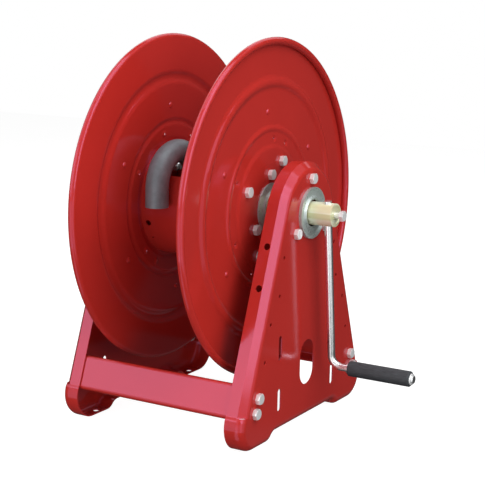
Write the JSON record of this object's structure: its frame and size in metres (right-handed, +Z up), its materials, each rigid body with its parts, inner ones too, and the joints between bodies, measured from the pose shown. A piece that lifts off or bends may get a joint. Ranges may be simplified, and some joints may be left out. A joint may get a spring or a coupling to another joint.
{
  "type": "fire hose reel",
  "caption": "Crank-wound hose reel: a flanged drum on a hollow water-way shaft in ball bearings between pressed side frames tied by rails, with a swivel inlet and a bent riser outlet.",
  "frame": {"origin": "on the floor, midway between the two side frames and directly under the axle", "axes": "+X along the axle towards the crank, +Y to the rear, +Z up"},
  "size_m": [0.6304, 0.5588, 0.6354],
  "materials": {
    "red_powder_coat": "glossy powder coat",
    "zinc_plate": "bright zinc plating",
    "yellow_zinc": "yellow zinc plating",
    "black_pipe": "matte black pipe",
    "grip_rubber": "matte sleeve",
    "bearing_steel": "ground bearing steel",
    "cast_brass": "cast",
    "bronze_bush": "machined bronze",
    "seal_rubber": "moulded"
  },
  "bodies": {
    "frame": {"side_frame_right": "red_powder_coat", "side_frame_left": "red_powder_coat", "front_rail": "red_powder_coat", "rear_rail": "red_powder_coat", "rail_bolts": "zinc_plate", "rail_nuts": "zinc_plate", "bearing_housing_right": "zinc_plate", "bearing_cover_right": "zinc_plate", "bearing_outer_ring_right": "bearing_steel", "bearing_balls_right": "bearing_steel", "bearing_housing_left": "zinc_plate", "bearing_cover_left": "zinc_plate", "bearing_outer_ring_left": "bearing_steel", "bearing_balls_left": "bearing_steel", "bearing_bolts": "zinc_plate", "bearing_nuts": "zinc_plate"},
    "drum": {"bearing_inner_ring_left": "bearing_steel", "bearing_inner_ring_right": "bearing_steel", "bearing_set_screws_left": "bearing_steel", "bearing_set_screws_right": "bearing_steel", "crank_clamp_bolt": "zinc_plate", "crank_clamp_plug": "yellow_zinc", "crank_rod": "zinc_plate", "disc_rivets_left": "red_powder_coat", "disc_rivets_right": "red_powder_coat", "drum_barrel": "red_powder_coat", "drum_bolts": "zinc_plate", "drum_disc_left": "red_powder_coat", "drum_disc_right": "red_powder_coat", "drum_nuts": "zinc_plate", "grip_retainer": "zinc_plate", "hub_bolts": "zinc_plate", "hub_cover_left": "zinc_plate", "hub_cover_right": "zinc_plate", "hub_flange_left": "red_powder_coat", "hub_flange_right": "red_powder_coat", "hub_nuts": "zinc_plate", "outlet_riser": "black_pipe", "riser_boss": "yellow_zinc", "shaft": "yellow_zinc", "shaft_plug": "yellow_zinc", "shaft_retaining_ring": "bearing_steel"},
    "crank_grip": {"crank_grip": "grip_rubber"},
    "inlet_swivel": {"swivel_body": "cast_brass", "swivel_bush": "bronze_bush", "swivel_dust_seal": "seal_rubber", "swivel_seals": "seal_rubber", "swivel_end_cap": "cast_brass"}
  },
  "joints": [
    {"name": "drum_spin", "type": "hinge", "parent": "frame", "child": "drum", "pos_m": [0, 0, 0.356], "axis": [1, 0, 0], "continuous": true},
    {"name": "grip_spin", "type": "hinge", "parent": "drum", "child": "crank_grip", "pos_m": [0.293, 0.03, 0.09753], "axis": [1, 0, 0], "continuous": true},
    {"name": "inlet_swivel_turn", "type": "hinge", "parent": "frame", "child": "inlet_swivel", "pos_m": [-0.215, 0, 0.356], "axis": [1, 0, 0], "continuous": true}
  ]
}
